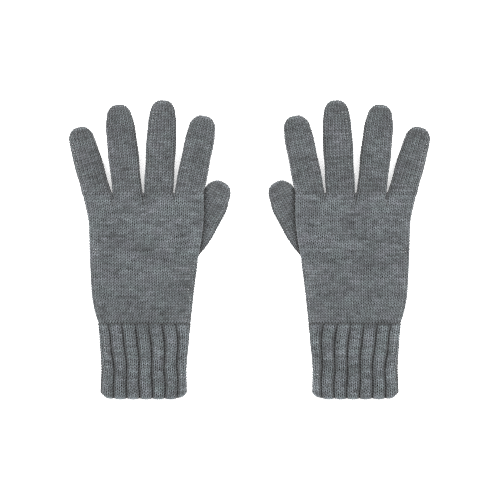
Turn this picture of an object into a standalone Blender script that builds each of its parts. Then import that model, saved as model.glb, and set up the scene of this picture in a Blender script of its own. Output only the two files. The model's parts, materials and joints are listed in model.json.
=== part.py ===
"""A pair of knitted gloves lying palms down, fingers pointing along +Y.

Each glove is a ribbed cuff, a flat hand tube, four finger tubes and a thumb tube. The thumb
comes out of a slit across the palm and lies under the edge of the hand, so the hand rides up
over it there. Three short joins part the finger roots inside the top of the hand.

Both gloves come from one set of dimensions. u is the distance outward from the plane between
the gloves, so the left glove has X = -u and the right one X = +u. Lengths are in millimetres
until a mesh is made.
"""
import math

import bmesh
import bpy

MM = 0.001

# Fabric
GAP = 0.3                # air between neighbouring pieces
WALL = 1.8               # thickness of the knitted fabric
SINK = 0.25              # how far a tube's underside is pressed flat on the table
SECTION_POWER = 2.5      # how square a finger's cross-section is: 2 is an ellipse

# Cuff: from the open edge up to the wrist line
CUFF_EDGE_Y = -125.0
EDGE_LENGTH = 2.4
WRIST_Y = -61.3
CUFF_CENTRE = 88.0
CUFF_HALF_WIDTHS = [(-125.0, 34.9), (-121.0, 35.8), (-98.0, 35.5), (-80.0, 36.7), (-61.3, 38.3)]
CUFF_THICK = 13.0
RIB_COUNT = 14
RIB_DEPTH = 0.9
POINTS_PER_RIB = 4

# Hand: its two side edges, (y, u), and its thickness, (y, mm)
KNUCKLE_Y = 46.0
LITTLE_EDGE = [(-61.3, 126.4), (-36.0, 132.0), (0.0, 133.7), (24.0, 134.6), (46.0, 139.9)]
THUMB_EDGE = [(-61.3, 49.3), (-36.0, 46.3), (-8.0, 43.0), (20.0, 38.5), (46.0, 38.0)]
HAND_THICK = [(-61.3, 13.0), (-30.0, 14.0), (20.0, 14.0), (46.0, 12.0)]
HAND_FLATNESS = 6.0      # how long the hand stays at full thickness before its edges round off
HAND_POINTS = 22         # points across the back of the hand
CUFF_SIDE_RINGS = [-61.3 + GAP / 2, -46.0, -32.0, -20.0]
FINGER_SIDE_RINGS = [4.0, 16.0, 27.0, 37.0, KNUCKLE_Y - GAP / 2]

# Fingers: root centre u, centre of the round tip (u, y), tip radius, half-widths at root and middle
FINGER_THICK = 12.0
FINGERS = {
    "index": {"root": 50.9, "tip": (39.9, 101.7), "radius": 10.9, "root_half": 12.2, "mid_half": 12.4},
    "middle": {"root": 76.3, "tip": (73.3, 114.4), "radius": 10.9, "root_half": 12.5, "mid_half": 12.4},
    "ring": {"root": 102.1, "tip": (109.3, 111.0), "radius": 11.0, "root_half": 12.3, "mid_half": 12.5},
    "little": {"root": 127.7, "tip": (140.9, 92.8), "radius": 10.9, "root_half": 11.9, "mid_half": 11.8},
}

# Thumb: starts at the slit across the palm
SLIT_Y = -8.0
THUMB_THICK = 9.0
THUMB = {"root": 56.0, "tip": (27.0, 46.5), "radius": 11.3, "root_half": 11.6, "mid_half": 11.9}

# Where the hand and the index finger ride over the thumb
LIFT = THUMB_THICK + 0.4
OVER_THICK = 5.0
RAMP = 9.0
SWING_ROOM = 3.5         # how much wider the lifted fabric is at the slit, where the thumb's root turns
SWING_ROOM_LENGTH = 36.0
LIFT_FADE = (47.0, 58.0)

# Joins between the finger roots
JOIN_WIDTH = 1.6
JOIN_LENGTH = 5.0

TUBE_POINTS = 16
HEATHER_GREY = (0.155, 0.168, 0.175, 1.0)
RIB_GREY = (0.145, 0.160, 0.165, 1.0)
JOIN_GREY = (0.120, 0.130, 0.135, 1.0)


def clear_scene():
    for obj in list(bpy.data.objects):
        bpy.data.objects.remove(obj, do_unlink=True)


def wool(name, colour):
    """A matt knitted fabric."""
    material = bpy.data.materials.new(name)
    material.use_nodes = True
    shader = material.node_tree.nodes["Principled BSDF"]
    shader.inputs["Base Color"].default_value = colour
    shader.inputs["Roughness"].default_value = 0.95
    shader.inputs["Metallic"].default_value = 0.0
    return material


def smooth(t):
    """0 below 0, 1 above 1 and an even S between them."""
    t = min(max(t, 0.0), 1.0)
    return t * t * (3.0 - 2.0 * t)


def through(points, y):
    """A smooth curve through the (y, value) points."""
    if y <= points[0][0]:
        return points[0][1]
    if y >= points[-1][0]:
        return points[-1][1]
    slopes = []
    for i in range(len(points)):
        before = points[max(i - 1, 0)]
        after = points[min(i + 1, len(points) - 1)]
        slopes.append((after[1] - before[1]) / (after[0] - before[0]))
    i = max(k for k in range(len(points) - 1) if points[k][0] <= y)
    span = points[i + 1][0] - points[i][0]
    t = (y - points[i][0]) / span
    start = points[i][1] * (1 + 2 * t) * (1 - t) ** 2 + slopes[i] * span * t * (1 - t) ** 2
    end = points[i + 1][1] * t * t * (3 - 2 * t) - slopes[i + 1] * span * t * t * (1 - t)
    return start + end


def thumb_cover(u, y):
    """1 where the fabric lies on top of the thumb, 0 where it lies on the table."""
    if y <= SLIT_Y:
        return 0.0
    slope = (THUMB["root"] - THUMB["tip"][0]) / (THUMB["tip"][1] - SLIT_Y)
    hidden_side = THUMB["root"] - slope * (y - SLIT_Y) + THUMB["root_half"] * math.hypot(1.0, slope)
    room = SWING_ROOM * (1.0 - smooth((y - SLIT_Y) / SWING_ROOM_LENGTH))
    across = smooth((hidden_side + room + RAMP - u) / RAMP)
    along = 1.0 - smooth((y - LIFT_FADE[0]) / (LIFT_FADE[1] - LIFT_FADE[0]))
    return across * along


def raised(u, y, z, thickness, inset, covered=True):
    """z of a point whose layer runs from inset to thickness - inset, moved up over the thumb."""
    share = (z - inset) / (thickness - 2 * inset)
    over = LIFT + inset + share * (OVER_THICK - 2 * inset)
    cover = thumb_cover(u, y) if covered else 0.0
    return z + cover * (over - z)


def hand_ring(y, inset, covered=True):
    """Closed ring of (u, y, z) around the hand at y, inset from its outer surface."""
    low = through(THUMB_EDGE, y)
    high = through(LITTLE_EDGE, y)
    thickness = through(HAND_THICK, y)
    centre = (low + high) / 2
    half_width = (high - low) / 2 - inset
    ring = []
    for layer in (1.0, -1.0):
        for k in range(HAND_POINTS):
            s = -layer * math.cos(math.pi * k / HAND_POINTS)
            s = math.sin(math.pi / 2 * s) if abs(s) < 1 else s
            bulge = (1.0 - abs(s) ** HAND_FLATNESS) ** (1.0 / 2.2)
            u = centre + half_width * s
            z = max(thickness / 2 - SINK + layer * (thickness / 2 - inset) * bulge, inset)
            ring.append((u, y, raised(u, y, z, thickness, inset, covered)))
    return ring


def oval_ring(centre, angle, half_width, half_height, middle_z, floor, count=TUBE_POINTS):
    """Closed ring of (u, y, z) across a tube. angle turns the ring about the vertical."""
    ring = []
    for k in range(count):
        turn = 2 * math.pi * k / count
        across = math.copysign(abs(math.cos(turn)) ** (2 / SECTION_POWER), math.cos(turn))
        up = math.copysign(abs(math.sin(turn)) ** (2 / SECTION_POWER), math.sin(turn))
        u = centre[0] + half_width * across * math.cos(angle)
        y = centre[1] + half_width * across * math.sin(angle)
        ring.append((u, y, max(middle_z + half_height * up, floor)))
    return ring


def stall_rings(spec, base_y, thickness, inset, over_thumb):
    """Rings of a closed-ended tube, from its root to its tip, and the point at its very end."""
    root = (spec["root"], base_y)
    tip = spec["tip"]
    lean = math.atan2(tip[0] - root[0], tip[1] - root[1])
    middle_z = thickness / 2 - SINK
    half_height = thickness / 2 - inset
    half_widths = [(0.0, spec["root_half"]), (0.5, spec["mid_half"]), (1.0, spec["radius"])]
    rings = []
    for along in (0.0, 0.17, 0.36, 0.58, 0.8, 1.0):
        centre = (root[0] + (tip[0] - root[0]) * along, root[1] + (tip[1] - root[1]) * along)
        angle = -lean * smooth(along / 0.4)
        half_width = through(half_widths, along) / math.cos(lean + angle) - inset
        rings.append(oval_ring(centre, angle, half_width, half_height, middle_z, inset))
    radius = spec["radius"] - inset
    for degrees in (34, 62):
        bend = math.radians(degrees)
        ahead = radius * math.sin(bend)
        centre = (tip[0] + ahead * math.sin(lean), tip[1] + ahead * math.cos(lean))
        height = half_height * math.cos(bend) ** 0.6
        rings.append(oval_ring(centre, -lean, radius * math.cos(bend), height, middle_z, inset))
    end = (tip[0] + radius * math.sin(lean), tip[1] + radius * math.cos(lean), middle_z)
    if over_thumb:
        rings = [[(u, y, raised(u, y, z, thickness, inset)) for u, y, z in ring] for ring in rings]
    return rings, end


def solid_object(name, build, side, material, origin=(0.0, 0.0, 0.0)):
    """Makes one closed mesh object. build(bm, point) adds its faces; origin is (u, y, z)."""
    mesh = bpy.data.meshes.new(name)
    bm = bmesh.new()

    def point(u, y, z):
        place = (side * (u - origin[0]) * MM, (y - origin[1]) * MM, (z - origin[2]) * MM)
        return bm.verts.new(place)

    build(bm, point)
    bmesh.ops.recalc_face_normals(bm, faces=bm.faces)
    bm.to_mesh(mesh)
    bm.free()
    mesh.shade_smooth()
    mesh.set_sharp_from_angle(angle=math.radians(40))
    obj = bpy.data.objects.new(name, mesh)
    obj.location = (side * origin[0] * MM, origin[1] * MM, origin[2] * MM)
    obj.data.materials.append(material)
    bpy.context.scene.collection.objects.link(obj)
    return obj


def add_rings(bm, point, rings):
    """Makes the vertices of each ring and the wall between them, and returns the vertex rings."""
    made = [[point(*place) for place in ring] for ring in rings]
    for near, far in zip(made, made[1:]):
        join_rings(bm, near, far)
    return made


def join_rings(bm, near, far):
    count = len(near)
    for k in range(count):
        bm.faces.new((near[k], near[(k + 1) % count], far[(k + 1) % count], far[k]))


def close_ring(bm, ring, tip):
    for k in range(len(ring)):
        bm.faces.new((ring[k], ring[(k + 1) % len(ring)], tip))


def open_tube(outer, inner):
    """Builder of a tube open at both ends."""
    def build(bm, point):
        outside = add_rings(bm, point, outer)
        inside = add_rings(bm, point, inner)
        join_rings(bm, outside[0], inside[0])
        join_rings(bm, outside[-1], inside[-1])
    return build


def stall(spec, base_y, thickness, over_thumb):
    """Builder of a finger or thumb tube, open at its root."""
    def build(bm, point):
        skins = []
        for inset in (0.0, WALL):
            rings, end = stall_rings(spec, base_y, thickness, inset, over_thumb)
            skin = add_rings(bm, point, rings)
            close_ring(bm, skin[-1], point(*end))
            skins.append(skin)
        join_rings(bm, skins[0][0], skins[1][0])
    return build


def hand_tube():
    """Builder of the hand, with a step in its palm where the thumb starts."""
    rings = []
    for inset in (0.0, WALL):
        step_y = SLIT_Y - GAP - inset
        skin = [hand_ring(y, inset) for y in CUFF_SIDE_RINGS]
        skin.append(hand_ring(step_y - GAP, inset))
        above = hand_ring(SLIT_Y + 0.01, inset)
        skin.append([(u, step_y, z) for u, _, z in above])
        skin += [hand_ring(y, inset) for y in FINGER_SIDE_RINGS]
        rings.append(skin)
    return open_tube(rings[0], rings[1])


def cuff_ring(y, inset, ribbed):
    """Closed ring around the cuff, its points evenly spaced so that the ribs are even."""
    half_width = through(CUFF_HALF_WIDTHS, y) - inset
    half_height = CUFF_THICK / 2 - inset
    fine = []
    steps = 720
    for k in range(steps + 1):
        turn = 2 * math.pi * k / steps
        across = math.copysign(abs(math.cos(turn)) ** 0.5, math.cos(turn))
        up = math.copysign(abs(math.sin(turn)) ** 0.8, math.sin(turn))
        fine.append((half_width * across, half_height * up))
    lengths = [0.0]
    for here, there in zip(fine, fine[1:]):
        lengths.append(lengths[-1] + math.dist(here, there))
    ring = []
    count = RIB_COUNT * POINTS_PER_RIB
    place = 0
    for k in range(count):
        wanted = lengths[-1] * k / count
        while lengths[place + 1] < wanted:
            place += 1
        across, up = fine[place]
        if ribbed:
            groove = RIB_DEPTH * (0.5 - 0.5 * math.cos(2 * math.pi * k / POINTS_PER_RIB))
            across -= groove * across / half_width
            up -= groove * up / half_height
        ring.append((CUFF_CENTRE + across, y, max(CUFF_THICK / 2 - SINK + up, inset)))
    return ring


def cuff_tube(low_y, high_y):
    middle = (low_y + high_y) / 2
    outer = [cuff_ring(y, 0.0, True) for y in (low_y, middle, high_y)]
    inner = [cuff_ring(y, WALL + RIB_DEPTH, False) for y in (low_y, middle, high_y)]
    return open_tube(outer, inner)


def root_join(u):
    """Builder of the little pillar of stitches that parts two finger roots."""
    floor = WALL + GAP
    roof = FINGER_THICK - WALL - GAP
    low_y = KNUCKLE_Y - GAP - JOIN_LENGTH
    high_y = KNUCKLE_Y - GAP
    middle_y = (low_y + high_y) / 2
    outline = [
        (u, low_y), (u + JOIN_WIDTH / 2, middle_y - 1.0), (u + JOIN_WIDTH / 2, middle_y + 1.0),
        (u, high_y), (u - JOIN_WIDTH / 2, middle_y + 1.0), (u - JOIN_WIDTH / 2, middle_y - 1.0),
    ]

    def build(bm, point):
        bottom = [point(a, y, floor) for a, y in outline]
        top = [point(a, y, roof) for a, y in outline]
        join_rings(bm, bottom, top)
        bm.faces.new(bottom)
        bm.faces.new(top)
    return build


def cut_thumb_opening(hand, side, prefix):
    """Opens the step in the palm so that the thumb's hollow meets the hand's."""
    rings = []
    for y in (SLIT_Y - 6.0, SLIT_Y + 2.0):
        middle_z = THUMB_THICK / 2 - SINK
        half_width = THUMB["root_half"] / 0.88 - WALL
        half_height = THUMB_THICK / 2 - WALL
        rings.append(oval_ring((THUMB["root"], y), 0.0, half_width, half_height, middle_z, WALL))

    def build(bm, point):
        made = add_rings(bm, point, rings)
        bm.faces.new(made[0])
        bm.faces.new(made[-1])

    cutter = solid_object(prefix + "thumb_cutter", build, side, hand.data.materials[0])
    cutter.hide_render = True
    cutter.display_type = "WIRE"
    opening = hand.modifiers.new("thumb_opening", "BOOLEAN")
    opening.operation = "DIFFERENCE"
    opening.solver = "EXACT"
    opening.object = cutter


def make_glove(prefix, side, knit, rib, join):
    hand = solid_object(prefix + "hand", hand_tube(), side, knit)
    cut_thumb_opening(hand, side, prefix)

    hinge = (CUFF_CENTRE, WRIST_Y, CUFF_THICK)
    cuff_low = CUFF_EDGE_Y + EDGE_LENGTH + GAP
    solid_object(prefix + "cuff", cuff_tube(cuff_low, WRIST_Y - GAP / 2), side, rib, hinge)
    edge_high = CUFF_EDGE_Y + EDGE_LENGTH
    solid_object(prefix + "cuff_edge", cuff_tube(CUFF_EDGE_Y, edge_high), side, rib, hinge)

    for name, spec in FINGERS.items():
        over_thumb = name == "index"
        top = LIFT + OVER_THICK + 0.2 if over_thumb else FINGER_THICK
        hinge = (spec["root"], KNUCKLE_Y, top)
        build = stall(spec, KNUCKLE_Y + GAP / 2, FINGER_THICK, over_thumb)
        solid_object(prefix + name + "_finger", build, side, knit, hinge)

    outer_side = THUMB["root"] - THUMB["root_half"] / 0.88
    build = stall(THUMB, SLIT_Y + GAP, THUMB_THICK, False)
    solid_object(prefix + "thumb", build, side, knit, (outer_side, SLIT_Y, 0.0))

    names = list(FINGERS)
    for near, far in zip(names, names[1:]):
        u_near = FINGERS[near]["root"] + FINGERS[near]["root_half"]
        u_far = FINGERS[far]["root"] - FINGERS[far]["root_half"]
        name = f"{prefix}join_{near}_{far}"
        solid_object(name, root_join((u_near + u_far) / 2), side, join)


def main():
    clear_scene()
    knit = wool("heather_knit", HEATHER_GREY)
    rib = wool("rib_knit", RIB_GREY)
    join = wool("join_yarn", JOIN_GREY)
    make_glove("left_", -1.0, knit, rib, join)
    make_glove("right_", 1.0, knit, rib, join)


main()
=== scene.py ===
"""The looks of a pair of knitted gloves that lie flat with their palms down.

Every piece is real knitting: each course is a ring of yarn that loops once for every stitch, and
the loops of one course pull through those of the course before. A piece's shape is a Fabric, the
middle surface of its knitted tube, and its yarn is laid on that surface.

Lengths are in millimetres until a mesh is made. u is the distance outward from the plane between
the gloves, so the left glove has X = -u and the right one X = +u.
"""
import json
import math

import bpy
import numpy as np
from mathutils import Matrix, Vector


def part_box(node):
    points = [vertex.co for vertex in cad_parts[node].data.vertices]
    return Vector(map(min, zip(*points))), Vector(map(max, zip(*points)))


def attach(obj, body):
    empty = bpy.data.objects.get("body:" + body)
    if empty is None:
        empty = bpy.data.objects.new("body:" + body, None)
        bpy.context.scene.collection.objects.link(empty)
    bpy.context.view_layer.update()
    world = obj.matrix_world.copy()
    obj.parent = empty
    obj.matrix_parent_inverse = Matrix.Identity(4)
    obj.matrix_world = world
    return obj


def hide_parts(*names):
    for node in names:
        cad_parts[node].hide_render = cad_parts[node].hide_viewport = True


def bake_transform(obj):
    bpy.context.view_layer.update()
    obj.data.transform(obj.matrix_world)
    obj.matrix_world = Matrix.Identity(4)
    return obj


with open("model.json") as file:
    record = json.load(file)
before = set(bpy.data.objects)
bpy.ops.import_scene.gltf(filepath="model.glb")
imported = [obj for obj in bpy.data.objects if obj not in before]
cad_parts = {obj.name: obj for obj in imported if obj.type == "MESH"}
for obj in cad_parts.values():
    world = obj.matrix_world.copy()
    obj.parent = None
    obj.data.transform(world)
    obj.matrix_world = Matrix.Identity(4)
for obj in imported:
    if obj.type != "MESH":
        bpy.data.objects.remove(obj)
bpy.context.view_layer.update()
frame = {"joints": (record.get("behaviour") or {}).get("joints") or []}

MM = 0.001
JOINTS = {joint["name"]: joint for joint in frame["joints"]}


def joint_mm(name):
    """Where a joint of the right glove is, as (u, y, z)."""
    return [value / MM for value in JOINTS["right_" + name]["pos_m"]]


def box_mm(node):
    """Lowest and highest corner of a node of the right glove."""
    low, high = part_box("right_" + node)
    return np.array(low) / MM, np.array(high) / MM


# Yarn and stitches
YARN_RADIUS = 0.67
YARN_SWELL = 0.05        # how much the yarn's thickness changes along it
SWELL_LENGTH = 0.7       # and over how many stitches
LOOP_LEAN = 0.24         # how far the legs of a stitch lean, in stitch widths
LOOP_HEIGHT = 0.72       # half the height of a loop, in courses
LOOP_DEPTH = 0.50        # how far the loop's legs stand out of the middle of the fabric
LEG_DIFFERENCE = 0.14    # how much one leg of a stitch stands over the other, from the yarn's twist
FABRIC = 2 * (YARN_RADIUS + LOOP_DEPTH)
STITCH_WIDTH = 3.2
COURSE_HEIGHT = 2.24
STITCH_SIZES = (0.45, 1.06)   # the smallest and largest a stitch is made, as shares of a plain one
UNEVENNESS = 0.060       # how far stitches stray, in stitch widths
STRAY_LENGTH = 0.8       # and over how many stitches
STEPS = 10               # points along the yarn in each stitch
SIDES = 6                # points round the yarn

# Joints and the cuff's mouth
KNUCKLE_Y = joint_mm("middle_fold")[1]
WRIST_Y = joint_mm("cuff_fold")[1]
SLIT_Y = joint_mm("thumb_swing")[1]
MOUTH_Y = box_mm("cuff_edge")[0][1]

# Slow waves in the slack back of a glove: share, radians per mm along u and along y, start in radians
SLACK_WAVES = ((0.55, 0.105, 0.06, 0.8), (0.45, 0.07, -0.115, 2.1))
HAND_SLACK = 0.55        # how high they stand on the hand
CUFF_SLACK = 0.4         # and on the cuff

# Hand: its two side edges, (y, u), and its thickness, (y, mm)
LITTLE_EDGE = [(-61.3, 127.2), (-50.0, 130.6), (-36.0, 132.8), (0.0, 134.5), (24.0, 135.4), (46.0, 140.2)]
THUMB_EDGE = [(-61.3, 48.9), (-36.0, 46.2), (-8.0, 42.6), (20.0, 38.5), (46.0, 38.0)]
HAND_THICK = [(-61.3, 12.4), (-30.0, 13.0), (20.0, 13.0), (46.0, 11.6)]
HAND_STITCHES = 62
HAND_FLATNESS = 6.0
HAND_ROUNDING = 2.2
WRIST_SWELL = 0.35       # how far the hand swells out over the top of the cuff
SWELL_FADE = 5.0         # how far up the hand that reaches
WRIST_CREASE = 2.6       # how far down the cuff is drawn in under the hand, and has shade painted on it
WRIST_DRAWN_SIDE = 0.4   # how far it is drawn in there at the sides
WRIST_DRAWN_BACK = 0.9   # and at the back
VALLEY_LENGTH = 11.0     # how far the dips between the fingers run down into the hand
CROWN_SPREAD = 0.25      # how far a finger root's crown reaches past the root on each side
LEAST_RISE = 0.05        # keeps the dips in bounds at the side edges of the hand
CREASE_CROWN = 0.75      # how full a crown is where the painted shade of a crease starts beside it
CREASE_SPAN = 0.5        # and by how much less where it is darkest

# Fingers and thumb
FINGERS = ("index", "middle", "ring", "little")
FINGER_THICK = 11.4
THUMB_THICK = 8.8
FINGER_STITCHES = 18
SECTION_POWER = 2.5
ROOT_CENTRE = {name: joint_mm(name + "_fold")[0] for name in FINGERS}
ROOT_CENTRE["thumb"] = 59.3
TIP_CENTRE = {
    "index": (39.7, 101.6), "middle": (72.8, 115.0), "ring": (109.3, 111.4),
    "little": (140.9, 92.6), "thumb": (26.8, 47.1),
}
TIP_RADIUS = {"index": 11.5, "middle": 10.9, "ring": 10.8, "little": 10.9, "thumb": 11.5}
ROOT_HALF = {"index": 12.3, "middle": 12.5, "ring": 12.4, "little": 12.2, "thumb": 10.8}
MIDDLE_HALF = {"index": 12.6, "middle": 12.8, "ring": 12.9, "little": 12.0, "thumb": 14.3}
NEAR_TIP = 0.85          # how far along a finger its end starts to narrow
NEAR_TIP_SHARE = 0.97    # its width there, as a share of its width halfway
THUMB_INSIDE = 4.0       # how far the thumb's root starts inside the hand

FINGER_RISE = 0.5        # how far a finger's middle rises and falls along it
RISE_RATE = 0.09         # in radians per mm
RISE_START = 5           # where that starts, in radians for each radian that the finger leans
RISE_SETTLED = 0.3       # share of a finger's length that it takes to set in
FINGER_SWELL = 0.2       # how much a finger's half width comes and goes along it
SWELL_RATE = 0.21
SWELL_START = 9
TURNED = 0.4             # share of a finger's length after which its courses lie square to it
FABRIC_END = math.radians(87)     # how far round the end of a finger its fabric is shaped
COURSES_END = math.radians(84)    # and how far round it is knitted
END_POWER = 0.6          # how blunt the end of a finger is, seen from the side

NARROW_SHARE = 0.6       # a finger has half its stitches where its girth is below this share
DRAWSTRING = ((-0.1, 0.8), (0.35, 0.9))   # courses past the last one, and the yarn's thickness
DRAWSTRING_POINTS = 24
DRAWSTRING_STITCHES = 4
DRAWSTRING_HEIGHT = -0.3

ALL_OVER_SHADE = 0.24         # how much of a crease's painted shade a finger or the thumb has all over
UNDER_EDGE = 0.7         # where the painted shade of a finger's turned-under edge starts, in half widths
UNDER_SHADE = {"index": 0.2, "middle": 0.6, "ring": 0.9, "little": 0.9}
THUMB_SHADE = 1.1        # how dark the shade painted on the thumb is where it goes in under the hand
THUMB_SHADE_WIDTH = 3.0

# Where the hand and the index finger ride over the thumb
LIFT = 9.4
OVER_THICK = 5.0
RAMP = 9.0
LIFT_FADE = (47.0, 58.0)

# Cuff
CUFF_CENTRE = joint_mm("cuff_fold")[0]
CUFF_HALF_WIDTHS = [
    (-125.0, 36.6), (-118.0, 36.9), (-98.0, 36.6), (-80.0, 38.2), (-66.0, 39.4), (-61.3, 39.5),
]
CUFF_LEAN = 0.8          # how far the bottom of the cuff sits outward of its top
CUFF_THICK = 12.4
CUFF_ACROSS_POWER = 0.5  # these two make the cuff's section flatter than an ellipse
CUFF_UP_POWER = 0.8
CUFF_BASE = 1.7          # how far over the end of the cuff its first course starts
CUFF_STITCHES = 56
RIB_STITCHES = 4         # three knit stitches and one purl stitch
PURL_SHARE = 0.11        # share of a rib's width that its purl stitch takes
PURL_HALF = 0.35         # how far from a groove's middle a stitch is all purl, in stitches
PURL_FADE = 0.25         # and over how much more it turns to knit
PURL_AT_WRIST = 0.4      # how much purl is left at the top of the cuff
GROOVE_DEPTH = 2.2
GROOVE_START = 11.0      # how far down the cuff the grooves reach their full depth
GROOVE_AT_WRIST = 0.15   # how far along to that they are at its top
GROOVE_HALF = 0.20       # half the width of a groove's floor, in stitches
GROOVE_SLOPE = 0.75      # the width of its sloping sides
SIDE_GROOVE = 0.35       # share of their depth that the grooves keep at the cuff's side edges
SIDE_FROM = 1.0          # how many stitches from the side edge they start to deepen
SIDE_FADE = 2.5          # and over how many they do
RIB_FULLNESS = 1.08      # how much thicker the yarn is in the cuff, where it lies slack
GROOVE_FILLING = 0.35    # and how much more again in a groove
RIB_CROWN = 0.5
RIB_START = -0.012       # how far round the cuff the first rib starts
TWIST = 4.4              # how far the ribs slant sideways on their way down
TWIST_LENGTH = 18.0
WAVER = 0.4              # how far a rib wavers to either side
WAVER_RATE = 0.19        # in radians per mm
SCALLOP = 0.35           # how far the middle of a rib reaches below its edges, in courses
SCALLOP_COURSES = 5.0    # and over how many courses
CORNER_LIFT = 2.6        # how far the cuff's lower corners are rounded off, in courses
CORNER_STITCHES = 4.5    # and over how many stitches
CORNER_COURSES = 6.0     # and over how many courses

# The two strands of the cast-on edge
EDGE_COURSE = -0.15
EDGE_SWING = 0.2         # how far the strands swing up and down, in courses
EDGE_DEPTH = 0.45        # and in and out
EDGE_YARN = 0.95         # thickness of a strand, as a share of the yarn's

# The joins between the finger roots
JOIN_ROUNDS = 3
JOIN_START = 1.6         # how far below the knuckles the first round lies
JOIN_STEP = 1.25
JOIN_SIZE = (1.5, 0.5, 1.9)   # half the size of a round along u, y and z
JOIN_YARN = 0.85
JOIN_POINTS = 20
JOIN_STITCHES = 4

# The wool: its dark and light colour, and the depth of the knitting over which it darkens, as shade painted
# into the hollows of the knitting
KNIT_COLOURS = ((0.0155, 0.0185, 0.0205, 1.0), (0.0835, 0.0935, 0.0995, 1.0))
RIB_COLOURS = ((0.0185, 0.0228, 0.0250, 1.0), (0.107, 0.122, 0.130, 1.0))
JOIN_COLOURS = ((0.016, 0.018, 0.019, 1.0), (0.064, 0.069, 0.073, 1.0))
GREENISH = (0.93, 1.03, 1.0, 1.0)
PURPLISH = (1.03, 0.98, 1.05, 1.0)
FINE_TONE = (0.85, 0.6)  # strength of the fine changes of tone along the yarn, and their length in stitches
PATCH_TONE = (0.35, 3.0)
TINT_LENGTH = 2.0
TONE_STRENGTH = 0.17
TINT_STRENGTH = 0.12
FIBRE_STRENGTH = 1.5
TONE_CLOUDS = (55.0, 0.9)     # scale and strength of the slow changes through a whole glove
TINT_CLOUDS = (75.0, 2.0)
FIBRE_TWIST = (5.0, 6.0, 3.7)
SHADE_FROM = 0.08        # mm over the middle of the fabric
SHADE_TO = 1.12
SHADE_LEAST = 0.14
RIB_SHADING = 0.55       # share of a rib's own depth that counts too for the painted shade
CREASE_SHADING = 0.55    # how much deeper the wool in a crease counts for its painted shade

# Floor, light and camera, in metres
FLOOR_GREY = (0.95, 0.95, 0.95, 1.0)
FLOOR_GLOW = 0.30        # takes the last of the shadow away between the fingers
FLOOR_SIZE = 8.0
FLOOR_Z = -0.0003
WHITE = (1.0, 1.0, 1.0, 1.0)
SKY_STRENGTH = 2.0
LAMP_PLACE = (1.0, 0.45, 1.1)
LAMP_SIZE = 0.7
LAMP_WATTS = 27.0
CAMERA_AIM = (0.0004, -0.0004, 0.007)
CAMERA_DISTANCE = 1.6
SEEN_WIDTH = 0.41875     # how much the camera sees from side to side where it aims
FILM_WIDTH = 36.0        # in mm

COLUMNS = 480            # points round each ring that a fabric is made from
rng = np.random.default_rng(7)


def smooth(t):
    """0 below 0, 1 above 1 and an even S between them."""
    t = np.clip(t, 0.0, 1.0)
    return t * t * (3.0 - 2.0 * t)


def through(points, y):
    """A smooth curve through the (y, value) points."""
    y = min(max(y, points[0][0]), points[-1][0])
    slopes = []
    for i in range(len(points)):
        before = points[max(i - 1, 0)]
        after = points[min(i + 1, len(points) - 1)]
        slopes.append((after[1] - before[1]) / (after[0] - before[0]))
    i = max(k for k in range(len(points) - 1) if points[k][0] <= y)
    span = points[i + 1][0] - points[i][0]
    t = (y - points[i][0]) / span
    start = points[i][1] * (1 + 2 * t) * (1 - t) ** 2 + slopes[i] * span * t * (1 - t) ** 2
    end = points[i + 1][1] * t * t * (3 - 2 * t) - slopes[i + 1] * span * t * t * (1 - t)
    return start + end


# ---------------------------------------------------------------- the shapes of the fabric


def evenly(ring):
    """The ring's points again, evenly spaced along it."""
    closed = np.vstack([ring, ring[:1]])
    steps = np.linalg.norm(np.diff(closed, axis=0), axis=1)
    place = np.concatenate([[0.0], np.cumsum(steps)])
    wanted = np.linspace(0.0, place[-1], COLUMNS, endpoint=False)
    return np.stack([np.interp(wanted, place, closed[:, k]) for k in range(3)], axis=1)


def thumb_cover(u, y):
    """1 where the fabric lies on top of the thumb, 0 where it lies on the floor."""
    root = ROOT_CENTRE["thumb"]
    tip = TIP_CENTRE["thumb"]
    slope = (root - tip[0]) / (tip[1] - SLIT_Y)
    hidden_side = root - slope * (y - SLIT_Y) + ROOT_HALF["thumb"] * math.hypot(1.0, slope)
    across = smooth((hidden_side + RAMP - u) / RAMP)
    begins = smooth((y - SLIT_Y + THUMB_INSIDE) / THUMB_INSIDE)
    ends = 1.0 - smooth((y - LIFT_FADE[0]) / (LIFT_FADE[1] - LIFT_FADE[0]))
    return across * begins * ends


def raised(ring, thickness):
    """The ring of the middle surface moved up over the thumb, and thinned there."""
    inset = FABRIC / 2
    share = (ring[:, 2] - inset) / (thickness - 2 * inset)
    over = LIFT + inset + share * (OVER_THICK - 2 * inset)
    cover = thumb_cover(ring[:, 0], ring[:, 1])
    ring[:, 2] += cover * (over - ring[:, 2])
    return ring


def slackness(u, y):
    """A slow rise and fall of loose fabric, about -1 to 1."""
    return sum(share * np.sin(by_u * u + by_y * y + start) for share, by_u, by_y, start in SLACK_WAVES)


def finger_crowns(u):
    """How full the four finger roots are across the top of the hand: 0 between them, 1 on each."""
    full = np.zeros_like(u)
    for name in FINGERS:
        half_width = ROOT_HALF[name] + CROWN_SPREAD
        s = np.clip(np.abs(u - ROOT_CENTRE[name]) / half_width, 0.0, 1.0)
        full = np.maximum(full, (1.0 - s ** SECTION_POWER) ** (1.0 / SECTION_POWER))
    return full


def near_knuckles(y):
    """0 down in the hand, rising to 1 at the knuckles."""
    return smooth((y - KNUCKLE_Y + VALLEY_LENGTH) / VALLEY_LENGTH)


def finger_dip(u, y, rise):
    """How far the back of the hand sinks between two fingers: 0 for level, 1 for all the way."""
    level = np.minimum(finger_crowns(u) / np.maximum(np.abs(rise), LEAST_RISE), 1.0)
    return near_knuckles(y) * (1.0 - level)


def hand_crease(u, y):
    """1 along the short creases that run down from between the fingers, 0 away from them. Shade is painted
    into the wool there.
    """
    inside = (u > ROOT_CENTRE["index"]) & (u < ROOT_CENTRE["little"])
    crowns = finger_crowns(u.ravel()).reshape(u.shape)
    return near_knuckles(y) * np.where(inside, smooth((CREASE_CROWN - crowns) / CREASE_SPAN), 0.0)


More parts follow.
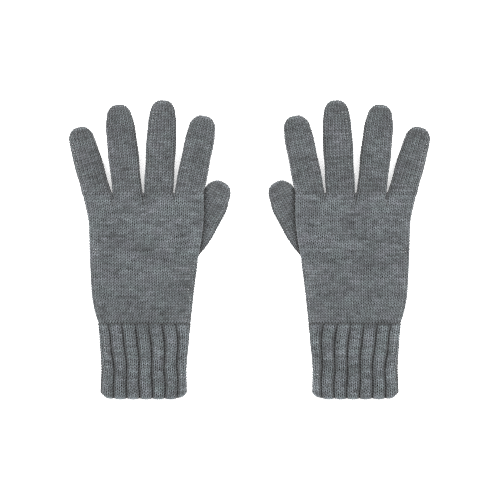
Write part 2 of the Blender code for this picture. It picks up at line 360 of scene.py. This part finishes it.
def wrist_crease(u, y):
    """1 where the top of the cuff goes in under the hand, 0 away from it. It is the same at every u. It
    draws the cuff in there and paints shade on it.
    """
    return smooth((y - WRIST_Y + WRIST_CREASE) / WRIST_CREASE)


def finger_crease(name, root_y):
    """The crease function of a finger, which sets its painted shade: a little all over, and more along its
    edge by the thumb.
    """
    root = np.array([ROOT_CENTRE[name], root_y])
    ahead = np.array(TIP_CENTRE[name]) - root
    ahead /= np.linalg.norm(ahead)

    def crease(u, y):
        towards_thumb = ((y - root[1]) * ahead[0] - (u - root[0]) * ahead[1]) / MIDDLE_HALF[name]
        edge = smooth((towards_thumb - UNDER_EDGE) / (1.0 - UNDER_EDGE))
        return ALL_OVER_SHADE + UNDER_SHADE[name] * edge

    return crease


def thumb_crease(u, y):
    """The crease function of the thumb, which sets its painted shade: darkest along the edge of the hand
    that lies over it, where the hand's shadow falls.
    """
    heights, edges = np.transpose(THUMB_EDGE)
    beyond = np.interp(y, heights, edges) - u
    return ALL_OVER_SHADE + THUMB_SHADE * (1.0 - smooth(beyond / THUMB_SHADE_WIDTH))


def hand_ring(y):
    """Ring round the hand's middle surface at y, from the little finger's edge over the back."""
    inset = FABRIC / 2
    swell = WRIST_SWELL * (1.0 - smooth((y - WRIST_Y) / SWELL_FADE))
    low, high = through(THUMB_EDGE, y), through(LITTLE_EDGE, y)
    thickness = through(HAND_THICK, y)
    half_width = (high - low) / 2 - inset
    half_height = thickness / 2 - inset + swell
    turn = np.linspace(0.0, 2 * math.pi, COLUMNS, endpoint=False)
    s = np.sin(math.pi / 2 * np.cos(turn))
    plain = (1.0 - np.abs(s) ** HAND_FLATNESS) ** (1.0 / HAND_ROUNDING)
    z = half_height * np.where(turn < math.pi, plain, -plain)
    ring = evenly(np.stack([(low + high) / 2 + half_width * s, np.full_like(z, y), z], axis=1))
    u, rise = ring[:, 0], ring[:, 2] / half_height
    slack = HAND_SLACK * slackness(u, y) * np.maximum(rise, 0.0)
    ring[:, 2] = thickness / 2 + swell + ring[:, 2] * (1.0 - finger_dip(u, y, rise)) + slack
    return raised(ring, thickness)


def rounded(turn, across_power, up_power):
    """The two coordinates round a rounded box, each -1 to 1, at the angles turn."""
    across = np.sign(np.cos(turn)) * np.abs(np.cos(turn)) ** across_power
    up = np.sign(np.sin(turn)) * np.abs(np.sin(turn)) ** up_power
    return across, up


def oval_ring(centre, angle, half_width, half_height, middle_z):
    """Ring across a finger's middle surface. angle turns it about the vertical."""
    turn = np.linspace(0.0, 2 * math.pi, COLUMNS, endpoint=False)
    across, up = rounded(turn, 2 / SECTION_POWER, 2 / SECTION_POWER)
    u = centre[0] + half_width * across * math.cos(angle)
    y = centre[1] + half_width * across * math.sin(angle)
    return evenly(np.stack([u, y, middle_z + half_height * up], axis=1))


def stall_ring(name, root_y, thickness, distance):
    """Ring round a finger or thumb at a distance along it, measured over its round end."""
    inset = FABRIC / 2
    root = np.array([ROOT_CENTRE[name], root_y])
    tip = np.array(TIP_CENTRE[name])
    length = math.dist(root, tip)
    ahead = (tip - root) / length
    lean = math.atan2(ahead[0], ahead[1])
    along = min(distance / length, 1.0)
    rise = FINGER_RISE * math.sin(RISE_RATE * distance + RISE_START * lean)
    middle_z = thickness / 2 + rise * smooth(along / RISE_SETTLED)
    half_height = thickness / 2 - inset
    widths = [
        (0.0, ROOT_HALF[name]),
        (0.5, MIDDLE_HALF[name]),
        (NEAR_TIP, MIDDLE_HALF[name] * NEAR_TIP_SHARE),
        (1.0, TIP_RADIUS[name]),
    ]
    angle = -lean * smooth(along / TURNED)
    half_width = through(widths, along) / math.cos(lean + angle) - inset
    half_width += FINGER_SWELL * math.sin(SWELL_RATE * distance + SWELL_START * lean)
    if distance <= length:
        return oval_ring(root + ahead * distance, angle, half_width, half_height, middle_z)
    radius = TIP_RADIUS[name] - inset
    bend_angle = min((distance - length) / radius, FABRIC_END)
    centre = tip + ahead * radius * math.sin(bend_angle)
    height = half_height * math.cos(bend_angle) ** END_POWER
    return oval_ring(centre, -lean, radius * math.cos(bend_angle), height, middle_z)


def cuff_ring(y):
    """Ring round the cuff, without its ribs."""
    inset = FABRIC / 2
    turn = np.linspace(0.0, 2 * math.pi, COLUMNS, endpoint=False)
    across, up = rounded(turn, CUFF_ACROSS_POWER, CUFF_UP_POWER)
    centre = CUFF_CENTRE + CUFF_LEAN * (WRIST_Y - y) / (WRIST_Y - MOUTH_Y)
    drawn_in = float(wrist_crease(centre, y))
    half_width = through(CUFF_HALF_WIDTHS, y) - inset - WRIST_DRAWN_SIDE * drawn_in
    half_height = CUFF_THICK / 2 - inset - WRIST_DRAWN_BACK * drawn_in
    u = centre + half_width * across
    z = CUFF_THICK / 2 + half_height * up
    z += np.where(up > 0, CUFF_SLACK * slackness(u, y) * up, 0.0)
    return evenly(np.stack([u, np.full_like(u, y), z], axis=1))


class Fabric:
    """The middle surface of a knitted tube, read at a place round it (0 to 1) and a course."""

    MARGIN = 2
    ROWS = 2             # rings for each course

    def __init__(self, ring_at, courses):
        rows = np.arange(-self.MARGIN, courses + self.MARGIN + 0.01, 1.0 / self.ROWS)
        self.grid = np.stack([ring_at(row) for row in rows])
        around = np.roll(self.grid, -1, axis=1) - np.roll(self.grid, 1, axis=1)
        along = np.gradient(self.grid, axis=0)
        normal = np.cross(along, around)
        self.normals = normal / np.maximum(np.linalg.norm(normal, axis=2, keepdims=True), 1e-9)
        self.girth = np.linalg.norm(around, axis=2).sum(axis=1) / 2

    def read(self, table, around, course):
        """The table's values between its points."""
        column = (around % 1.0) * COLUMNS
        row = np.clip((course + self.MARGIN) * self.ROWS, 0.0, len(table) - 1.001)
        c, r = np.floor(column).astype(int), np.floor(row).astype(int)
        fc, fr = (column - c)[..., None], (row - r)[..., None]
        c, c_next = c % COLUMNS, (c + 1) % COLUMNS
        near = table[r, c] * (1 - fc) + table[r, c_next] * fc
        far = table[r + 1, c] * (1 - fc) + table[r + 1, c_next] * fc
        return near * (1 - fr) + far * fr

    def at(self, around, course, height):
        """Points height above the middle surface, and the direction out of it there."""
        normal = self.read(self.normals, around, course)
        return self.read(self.grid, around, course) + normal * height[..., None], normal

    def place_over(self, u, course):
        """How far round the ring, 0 to 1, its upper side passes over u."""
        ring = self.grid[round((course + self.MARGIN) * self.ROWS)]
        upper = np.arange(COLUMNS // 2)
        return upper[np.argmin(np.abs(ring[upper, 0] - u))] / COLUMNS

    def girth_at(self, course):
        """How long it is once round the fabric at a course."""
        rows = (np.asarray(course) + self.MARGIN) * self.ROWS
        return np.interp(rows, np.arange(len(self.girth)), self.girth)


# ---------------------------------------------------------------- the yarn


def drifting(rows, points, stitches):
    """Random values for the points of each row, which change smoothly over about so many stitches."""
    noise = np.fft.fft(rng.standard_normal((rows, points)), axis=1)
    pace = np.fft.fftfreq(points) * STEPS * stitches
    value = np.fft.ifft(noise * np.exp(-10.0 * pace ** 2), axis=1).real
    return value / max(value.std(), 1e-9)


def unit(vectors):
    """The vectors made one long."""
    return vectors / np.maximum(np.linalg.norm(vectors, axis=-1, keepdims=True), 1e-9)


def round_yarn(centres, normals, radii, turn):
    """Points round the yarn at the angles turn, as (rings, points, sides, 3)."""
    ahead = unit(np.roll(centres, -1, axis=1) - np.roll(centres, 1, axis=1))
    beside = unit(np.cross(ahead, normals))
    out = np.cross(beside, ahead)
    spread = out[:, :, None] * np.cos(turn)[:, None] + beside[:, :, None] * np.sin(turn)[:, None]
    return centres[:, :, None] + spread * radii[:, :, None, None]


def yarn_quads(rows, count, order):
    """Quads of rows closed tubes, and their corners' (step, row) places. order is a quad's corners."""
    row, step, side = np.meshgrid(np.arange(rows), np.arange(count), np.arange(SIDES), indexing="ij")
    quads, corners = [], []
    for step_on, side_on in order:
        at_step = (step + step_on) % count
        quads.append((row * count + at_step) * SIDES + (side + side_on) % SIDES)
        corners.append(np.stack([(step + step_on) / count, row + (side + side_on) / SIDES], axis=-1))
    return np.stack(quads, axis=-1).reshape(-1, 4), np.stack(corners, axis=-2).reshape(-1, 2)


class Yarn:
    """Closed rings of yarn, gathered up and then made into one mesh."""

    def __init__(self):
        self.rings = []

    def add(self, centres, normals, heights, radii, stitches):
        """centres and normals are (rings, points, 3). heights are over the middle of the fabric, and set
        only how much shade is painted on the yarn.
        """
        shape = centres.shape[:2]
        along = np.broadcast_to(np.arange(shape[1]) * stitches / shape[1], shape)
        heights, radii = np.broadcast_to(heights, shape), np.broadcast_to(radii, shape)
        self.rings.append((centres, normals, heights, radii, along))

    def mesh_parts(self, mirrored):
        """Points, quads and the values that the wool material reads at each point and corner."""
        order = ((0, 0), (0, 1), (1, 1), (1, 0)) if mirrored else ((0, 0), (1, 0), (1, 1), (0, 1))
        turn = 2 * math.pi * np.arange(SIDES) / SIDES
        total_rows = sum(len(centres) for centres, *_ in self.rings)
        points, quads, corners, yarn, tone, tint, level = [], [], [], [], [], [], []
        first_point, first_row = 0, 0
        for centres, normals, heights, radii, along in self.rings:
            rows, count = radii.shape
            places = round_yarn(centres, normals, radii, turn)
            points.append(places.reshape(-1, 3))
            ring_quads, ring_corners = yarn_quads(rows, count, order)
            quads.append(first_point + ring_quads)
            corners.append((ring_corners + [0.0, first_row]) / [1.0, total_rows])
            fine = FINE_TONE[0] * drifting(rows, count, FINE_TONE[1])
            patches = PATCH_TONE[0] * drifting(rows, count, PATCH_TONE[1])
            tone.append(np.repeat((fine + patches).reshape(-1), SIDES))
            tint.append(np.repeat(drifting(rows, count, TINT_LENGTH).reshape(-1), SIDES))
            yarn_place = np.broadcast_arrays(
                along[:, :, None],
                np.arange(SIDES) / SIDES,
                (first_row + np.arange(rows))[:, None, None],
            )
            yarn.append(np.stack(yarn_place, axis=-1).reshape(-1, 3))
            # level: how high each point of the yarn stands, from which the wool paints shade into the
            # hollows
            level.append((heights[:, :, None] + radii[:, :, None] * np.cos(turn)).reshape(-1))
            first_point += rows * count * SIDES
            first_row += rows
        return [np.concatenate(part) for part in (points, quads, corners, yarn, tone, tint, level)]


def make_piece(name, yarn, side, material):
    """One mesh object of all the yarn in a piece. side is -1 for the left glove."""
    points, quads, corners, yarn_place, tone, tint, level = yarn.mesh_parts(side > 0)
    mesh = bpy.data.meshes.new(name)
    mesh.vertices.add(len(points))
    mesh.vertices.foreach_set("co", (points * [side * MM, MM, MM]).astype(np.float32).ravel())
    mesh.loops.add(quads.size)
    mesh.loops.foreach_set("vertex_index", quads.astype(np.int32).ravel())
    mesh.polygons.add(len(quads))
    mesh.polygons.foreach_set("loop_start", np.arange(0, quads.size, 4, dtype=np.int32))
    mesh.update(calc_edges=True)
    mesh.shade_smooth()
    # level sets the shade that the wool paints into hollows and creases
    for label, values, kind, field in (
        ("tone", tone, "FLOAT", "value"), ("tint", tint, "FLOAT", "value"),
        ("level", level, "FLOAT", "value"),
        ("yarn", yarn_place, "FLOAT_VECTOR", "vector"),
    ):
        attribute = mesh.attributes.new(label, kind, "POINT")
        attribute.data.foreach_set(field, values.astype(np.float32).ravel())
    mesh.uv_layers.new(name="OFBake").data.foreach_set("uv", corners.astype(np.float32).ravel())
    obj = bpy.data.objects.new(name, mesh)
    bpy.context.scene.collection.objects.link(obj)
    mesh.materials.append(material)
    return obj


def knit_courses(yarn, fabric, courses, stitches, first=0.0, ribbed=False, crease=None):
    """Lays one ring of loops for each of these courses on the fabric. first is where, in stitches,
    the first loop starts. crease(u, y) is 1 in a crease of the fabric, where shade is painted into the
    wool."""
    courses = np.asarray(courses, float)[:, None]
    t = np.arange(stitches * STEPS)[None, :] / STEPS + np.zeros_like(courses)
    rows, count = t.shape
    lean = LOOP_LEAN * np.sin(4 * math.pi * t)
    sway = UNEVENNESS * drifting(rows, count, STRAY_LENGTH)
    stray = UNEVENNESS * drifting(rows, count, STRAY_LENGTH)
    along = first + t + lean + sway
    level = courses + 0.5 - LOOP_HEIGHT * np.cos(2 * math.pi * t) + stray
    size = np.clip(fabric.girth_at(courses) / stitches / STITCH_WIDTH, *STITCH_SIZES)
    legs = LOOP_DEPTH * np.cos(4 * math.pi * t) + LEG_DIFFERENCE * np.sin(2 * math.pi * t)
    height = -legs * size
    radii = YARN_RADIUS * size * (1.0 + YARN_SWELL * drifting(rows, count, SWELL_LENGTH))
    # stands: the height that sets the painted shade, made deeper in the ribs' grooves and in creases
    around, stands = along / stitches, height
    if ribbed:
        around, level, height, groove = ribs(along, level, height, stitches, fabric)
        # Paints shade into the ribs' grooves as well
        stands = stands + RIB_SHADING * (height - stands)
        radii = radii * (RIB_FULLNESS + GROOVE_FILLING * groove)
    centres, normals = fabric.at(around, level, height)
    if crease:
        # Paints shade into creases: the yarn there counts as lying deeper
        stands = stands - CREASE_SHADING * crease(centres[..., 0], centres[..., 1])
    yarn.add(centres, normals, stands, radii, stitches)


def ribs(along, level, height, stitches, fabric):
    """Gathers the stitches into ribs of three knit stitches with a narrow purl groove between.
    along is the place round the cuff in stitches. Returns the place round it from 0 to 1, the
    course, the height and how deep in a groove each point is."""
    rib = np.floor(along / RIB_STITCHES)
    inside = along - rib * RIB_STITCHES
    knit = RIB_STITCHES - 1.0
    knit_share = (1.0 - PURL_SHARE) * np.minimum(inside, knit) / knit
    purl_share = PURL_SHARE * np.maximum(inside - knit, 0.0)

    down = np.maximum(WRIST_Y - fabric.read(fabric.grid, np.zeros_like(along), level)[..., 1], 0.0)
    shift = TWIST * (1.0 - np.exp(-down / TWIST_LENGTH))
    shift += WAVER * np.sin(WAVER_RATE * down + 4 * math.pi * RIB_STITCHES * rib / stitches)
    around = (rib + knit_share + purl_share) * RIB_STITCHES / stitches
    around = RIB_START + around + shift / fabric.girth_at(level)
    to_side = np.abs((2.0 * around + 0.5) % 1.0 - 0.5) * stitches / 2

    to_groove = np.minimum(np.abs(inside - (knit + 0.5)), inside + 0.5)
    deepening = smooth(GROOVE_AT_WRIST + down / GROOVE_START)
    groove = (1.0 - smooth((to_groove - GROOVE_HALF) / GROOVE_SLOPE)) * deepening
    groove *= SIDE_GROOVE + (1.0 - SIDE_GROOVE) * smooth((to_side - SIDE_FROM) / SIDE_FADE)
    purl = 1.0 - smooth((to_groove - PURL_HALF) / PURL_FADE)
    purl *= PURL_AT_WRIST + (1.0 - PURL_AT_WRIST) * deepening
    off_middle = 2.0 * np.minimum(inside, knit) / knit - 1.0
    height = height * (1.0 - 2.0 * purl) - RIB_CROWN * off_middle ** 2 - GROOVE_DEPTH * groove

    hang = SCALLOP * (1.0 - off_middle ** 2) * (1.0 - smooth(level / SCALLOP_COURSES))
    corner = np.clip(1.0 - to_side / CORNER_STITCHES, 0.0, 1.0) ** 2
    corner *= 1.0 - smooth(level / CORNER_COURSES)
    return around, level - hang + CORNER_LIFT * corner, height, groove


def knit_stall(yarn, fabric, courses, first, crease):
    """Knits a finger, with half the stitches once it narrows, and draws its end closed."""
    full_girth = STITCH_WIDTH * FINGER_STITCHES
    narrow = [fabric.girth_at(k + 0.5) < NARROW_SHARE * full_girth for k in range(courses)]
    wide_courses = narrow.index(True)
    knit_courses(yarn, fabric, range(wide_courses), FINGER_STITCHES, first, crease=crease)
    knit_courses(yarn, fabric, range(wide_courses, courses), FINGER_STITCHES // 2, crease=crease)
    turn = np.arange(DRAWSTRING_POINTS)[None, :] / DRAWSTRING_POINTS
    height = np.full_like(turn, DRAWSTRING_HEIGHT)
    for past, share in DRAWSTRING:
        centres, normals = fabric.at(turn, np.full_like(turn, courses + past), height)
        yarn.add(centres, normals, height, YARN_RADIUS * share, DRAWSTRING_STITCHES)


# ---------------------------------------------------------------- materials


def wool(name, colours):
    """Matt marled wool: each point's tone and tint are in the mesh, the fibres are drawn here, and shade is
    painted into the hollows and creases of the knitting from each point's level.
    """
    material = bpy.data.materials.new(name)
    material.use_nodes = True
    tree = material.node_tree
    nodes, links = tree.nodes, tree.links
    shader = nodes["Principled BSDF"]
    shader.inputs["Roughness"].default_value = 0.92
    shader.inputs["Specular IOR Level"].default_value = 0.25
    shader.inputs["Sheen Weight"].default_value = 0.25
    shader.inputs["Sheen Roughness"].default_value = 0.6

    fibres = fibre_noise(tree)
    strands = math_node(tree, "MULTIPLY_ADD", fibres, FIBRE_STRENGTH, -FIBRE_STRENGTH / 2)
    tone = math_node(tree, "MULTIPLY_ADD", stored(tree, "tone", "Fac"), TONE_STRENGTH, 0.5)
    tone = math_node(tree, "ADD", tone, strands)
    tone = math_node(tree, "ADD", tone, cloud(tree, *TONE_CLOUDS))
    tint = math_node(tree, "MULTIPLY_ADD", stored(tree, "tint", "Fac"), TINT_STRENGTH, 0.5)
    tint = math_node(tree, "ADD", tint, cloud(tree, *TINT_CLOUDS))
    mixed = nodes.new("ShaderNodeMix")
    mixed.data_type = "RGBA"
    mixed.blend_type = "MULTIPLY"
    mixed.inputs["Factor"].default_value = 1.0
    links.new(colour_between(tree, tone, *colours), mixed.inputs["A"])
    links.new(colour_between(tree, tint, GREENISH, PURPLISH), mixed.inputs["B"])
    # The colour darkened by painted shade where the yarn lies deep
    shaded = nodes.new("ShaderNodeVectorMath")
    shaded.operation = "SCALE"
    links.new(mixed.outputs["Result"], shaded.inputs[0])
    links.new(depth_shade(tree), shaded.inputs["Scale"])
    links.new(shaded.outputs["Vector"], shader.inputs["Base Color"])

    bump = nodes.new("ShaderNodeBump")
    bump.inputs["Strength"].default_value = 0.5
    bump.inputs["Distance"].default_value = 0.0003
    links.new(fibres, bump.inputs["Height"])
    links.new(bump.outputs["Normal"], shader.inputs["Normal"])
    return material


def fibre_noise(tree):
    """Fine streaks that run round the yarn like its twisted fibres, 0 to 1."""
    twisted = tree.nodes.new("ShaderNodeMapping")
    twisted.inputs["Scale"].default_value = FIBRE_TWIST
    tree.links.new(stored(tree, "yarn", "Vector"), twisted.inputs["Vector"])
    fibres = tree.nodes.new("ShaderNodeTexNoise")
    fibres.inputs["Scale"].default_value = 1.6
    fibres.inputs["Detail"].default_value = 4.0
    fibres.inputs["Roughness"].default_value = 0.65
    tree.links.new(twisted.outputs["Vector"], fibres.inputs["Vector"])
    return fibres.outputs["Fac"]


def depth_shade(tree):
    """Painted shade: 1 for yarn that stands out of the fabric, down to SHADE_LEAST for yarn deep in it, as
    if the hollows of the knitting lay in shadow.
    """
    depth = tree.nodes.new("ShaderNodeMapRange")
    depth.interpolation_type = "SMOOTHSTEP"
    depth.inputs["From Min"].default_value = SHADE_FROM
    depth.inputs["From Max"].default_value = SHADE_TO
    depth.inputs["To Min"].default_value = SHADE_LEAST
    depth.inputs["To Max"].default_value = 1.0
    tree.links.new(stored(tree, "level", "Fac"), depth.inputs["Value"])
    return depth.outputs["Result"]


def colour_between(tree, amount, first, second):
    """The first colour where the amount is 0, the second where it is 1, and a blend between."""
    ramp = tree.nodes.new("ShaderNodeValToRGB")
    ramp.color_ramp.elements[0].color = first
    ramp.color_ramp.elements[1].color = second
    tree.links.new(amount, ramp.inputs["Fac"])
    return ramp.outputs["Color"]


def cloud(tree, scale, strength):
    """Slow changes through the whole glove, about minus to plus a quarter of strength."""
    coordinates = tree.nodes.new("ShaderNodeTexCoord")
    noise = tree.nodes.new("ShaderNodeTexNoise")
    noise.inputs["Scale"].default_value = scale
    noise.inputs["Detail"].default_value = 2.0
    tree.links.new(coordinates.outputs["Object"], noise.inputs["Vector"])
    return math_node(tree, "MULTIPLY_ADD", noise.outputs["Fac"], strength, -strength / 2)


def stored(tree, name, output):
    """A value that is stored in the mesh."""
    node = tree.nodes.new("ShaderNodeAttribute")
    node.attribute_name = name
    return node.outputs[output]


def math_node(tree, operation, first, second, third=0.0):
    """Adds a Math node and returns its output. Each input is a socket or a number."""
    node = tree.nodes.new("ShaderNodeMath")
    node.operation = operation
    for socket, value in zip(node.inputs, (first, second, third)):
        if isinstance(value, bpy.types.NodeSocket):
            tree.links.new(value, socket)
        else:
            socket.default_value = value
    return node.outputs[0]


# ---------------------------------------------------------------- the pieces


def hand_piece():
    """The hand's yarn, and where each finger's stitches start so that they go on from the hand's."""
    courses = round((KNUCKLE_Y - WRIST_Y) / COURSE_HEIGHT)
    pitch = (KNUCKLE_Y - WRIST_Y) / courses
    fabric = Fabric(lambda row: hand_ring(WRIST_Y + row * pitch), courses)
    yarn = Yarn()
    knit_courses(yarn, fabric, range(courses), HAND_STITCHES, crease=hand_crease)
    starts = {"thumb": 0.0}
    for name in FINGERS:
        over = fabric.place_over(ROOT_CENTRE[name], courses) * HAND_STITCHES
        starts[name] = (over - FINGER_STITCHES / 4) % 1.0
    return yarn, starts


def finger_piece(name, first):
    """The yarn of a finger or thumb. first is where its stitches start."""
    root_y = SLIT_Y - THUMB_INSIDE if name == "thumb" else KNUCKLE_Y
    thickness = THUMB_THICK if name == "thumb" else FINGER_THICK
    straight = math.dist(TIP_CENTRE[name], (ROOT_CENTRE[name], root_y))
    length = straight + (TIP_RADIUS[name] - FABRIC / 2) * COURSES_END
    courses = round(length / COURSE_HEIGHT)
    pitch = length / courses

    def ring_at(row):
        ring = stall_ring(name, root_y, thickness, row * pitch)
        return raised(ring, thickness) if name == "index" else ring

    yarn = Yarn()
    crease = thumb_crease if name == "thumb" else finger_crease(name, root_y)
    knit_stall(yarn, Fabric(ring_at, courses), courses, first, crease)
    return yarn


def cuff_fabric():
    """The cuff's fabric and its number of courses, counted up from its mouth."""
    low = MOUTH_Y + CUFF_BASE
    courses = round((WRIST_Y - low) / COURSE_HEIGHT)
    pitch = (WRIST_Y - low) / courses
    return Fabric(lambda row: cuff_ring(low + row * pitch), courses), courses


def cuff_piece():
    """The yarn of a cuff."""
    fabric, courses = cuff_fabric()
    yarn = Yarn()
    knit_courses(yarn, fabric, range(courses), CUFF_STITCHES, ribbed=True, crease=wrist_crease)
    return yarn


def cuff_edge_piece():
    """The cast-on edge: two strands of yarn twisted round each other along the ribs."""
    fabric, _ = cuff_fabric()
    yarn = Yarn()
    t = np.arange(CUFF_STITCHES * STEPS)[None, :] / STEPS
    for phase in (0.0, math.pi):
        swing = 2 * math.pi * t + phase
        level = EDGE_COURSE + EDGE_SWING * np.sin(swing)
        around, level, height, _ = ribs(t, level, EDGE_DEPTH * np.cos(swing), CUFF_STITCHES, fabric)
        centres, normals = fabric.at(around, level, height)
        yarn.add(centres, normals, height, YARN_RADIUS * EDGE_YARN, CUFF_STITCHES)
    return yarn


def join_piece(near, far):
    """A few rounds of yarn drawn tight between two finger roots."""
    u = (ROOT_CENTRE[near] + ROOT_HALF[near] + ROOT_CENTRE[far] - ROOT_HALF[far]) / 2
    yarn = Yarn()
    turn = 2 * math.pi * np.arange(JOIN_POINTS)[None, :] / JOIN_POINTS
    outward = np.stack([np.cos(turn), np.zeros_like(turn), np.sin(turn)], axis=-1)
    for k in range(JOIN_ROUNDS):
        y = KNUCKLE_Y - JOIN_START + JOIN_STEP * k
        centres = np.stack([
            u + JOIN_SIZE[0] * np.cos(turn),
            y + JOIN_SIZE[1] * np.sin(turn + k),
            FINGER_THICK / 2 + JOIN_SIZE[2] * np.sin(turn),
        ], axis=-1)
        yarn.add(centres, outward, 0.0, YARN_RADIUS * JOIN_YARN, JOIN_STITCHES)
    return yarn


def stand_for(node, body, obj):
    """Lets a piece take the place of a plain solid and move with one body."""
    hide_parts(node)
    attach(obj, body)


def bend(obj):
    """Hides the plain solid that a piece stands for and bakes the piece's place into its mesh."""
    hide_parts(obj.name.removesuffix("_knit"))
    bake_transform(obj)


def make_gloves():
    """Both gloves, from one set of yarn: the left glove is the mirror image of the right."""
    knit = wool("heather_knit", KNIT_COLOURS)
    rib = wool("rib_knit", RIB_COLOURS)
    join = wool("join_yarn", JOIN_COLOURS)
    hand_yarn, starts = hand_piece()
    cuff_yarn = cuff_piece()
    edge_yarn = cuff_edge_piece()
    stalls = {name: finger_piece(name, starts[name]) for name in FINGERS + ("thumb",)}
    joins = {pair: join_piece(*pair) for pair in zip(FINGERS, FINGERS[1:])}
    for prefix, side in (("left_", -1.0), ("right_", 1.0)):
        hand_body = prefix + "glove_hand"
        hand = make_piece(prefix + "hand_knit", hand_yarn, side, knit)
        stand_for(prefix + "hand", hand_body, hand)
        cuff = make_piece(prefix + "cuff_knit", cuff_yarn, side, rib)
        bend(cuff)
        edge = make_piece(prefix + "cuff_edge_knit", edge_yarn, side, rib)
        stand_for(prefix + "cuff_edge", prefix + "glove_cuff", edge)
        for name in FINGERS:
            finger = make_piece(prefix + name + "_finger_knit", stalls[name], side, knit)
            bend(finger)
        thumb = make_piece(prefix + "thumb_knit", stalls["thumb"], side, knit)
        bend(thumb)
        for (near, far), yarn in joins.items():
            label = f"{prefix}join_{near}_{far}"
            stand_for(label, hand_body, make_piece(label + "_knit", yarn, side, join))


# ---------------------------------------------------------------- floor, light and camera


def make_floor():
    """A pale matt floor under the gloves."""
    material = bpy.data.materials.new("pale_floor")
    material.use_nodes = True
    shader = material.node_tree.nodes["Principled BSDF"]
    shader.inputs["Base Color"].default_value = FLOOR_GREY
    shader.inputs["Roughness"].default_value = 1.0
    shader.inputs["Specular IOR Level"].default_value = 0.0
    shader.inputs["Emission Color"].default_value = WHITE
    shader.inputs["Emission Strength"].default_value = FLOOR_GLOW
    bpy.ops.mesh.primitive_plane_add(size=FLOOR_SIZE, location=(0.0, 0.0, FLOOR_Z))
    floor = bpy.context.object
    floor.name = "floor"
    floor.data.materials.append(material)


def make_light():
    """Even white light from all round, and a soft lamp on each side."""
    world = bpy.data.worlds.new("studio")
    world.use_nodes = True
    background = world.node_tree.nodes["Background"]
    background.inputs["Color"].default_value = WHITE
    background.inputs["Strength"].default_value = SKY_STRENGTH
    bpy.context.scene.world = world
    for side in (-1.0, 1.0):
        softbox(f"softbox_{side:+.0f}", (LAMP_PLACE[0] * side, *LAMP_PLACE[1:]))


def softbox(name, location):
    """A soft lamp, turned to the middle of the floor."""
    data = bpy.data.lights.new(name, "AREA")
    data.size = LAMP_SIZE
    data.energy = LAMP_WATTS
    lamp = bpy.data.objects.new(name, data)
    lamp.location = location
    lamp.rotation_euler = (-lamp.location.normalized()).to_track_quat("-Z", "Y").to_euler()
    bpy.context.scene.collection.objects.link(lamp)


def make_camera():
    """A camera that looks straight down on the pair."""
    data = bpy.data.cameras.new("camera")
    camera = bpy.data.objects.new("camera", data)
    data.sensor_width = FILM_WIDTH
    data.lens = FILM_WIDTH * CAMERA_DISTANCE / SEEN_WIDTH
    data.clip_end = 20.0
    camera.location = (*CAMERA_AIM[:2], CAMERA_AIM[2] + CAMERA_DISTANCE)
    scene = bpy.context.scene
    scene.collection.objects.link(camera)
    scene.camera = camera
    scene.view_settings.view_transform = "Standard"
    scene.cycles.filter_width = 1.25
    scene.cycles.use_denoising = False


make_gloves()
make_floor()
make_light()
make_camera()
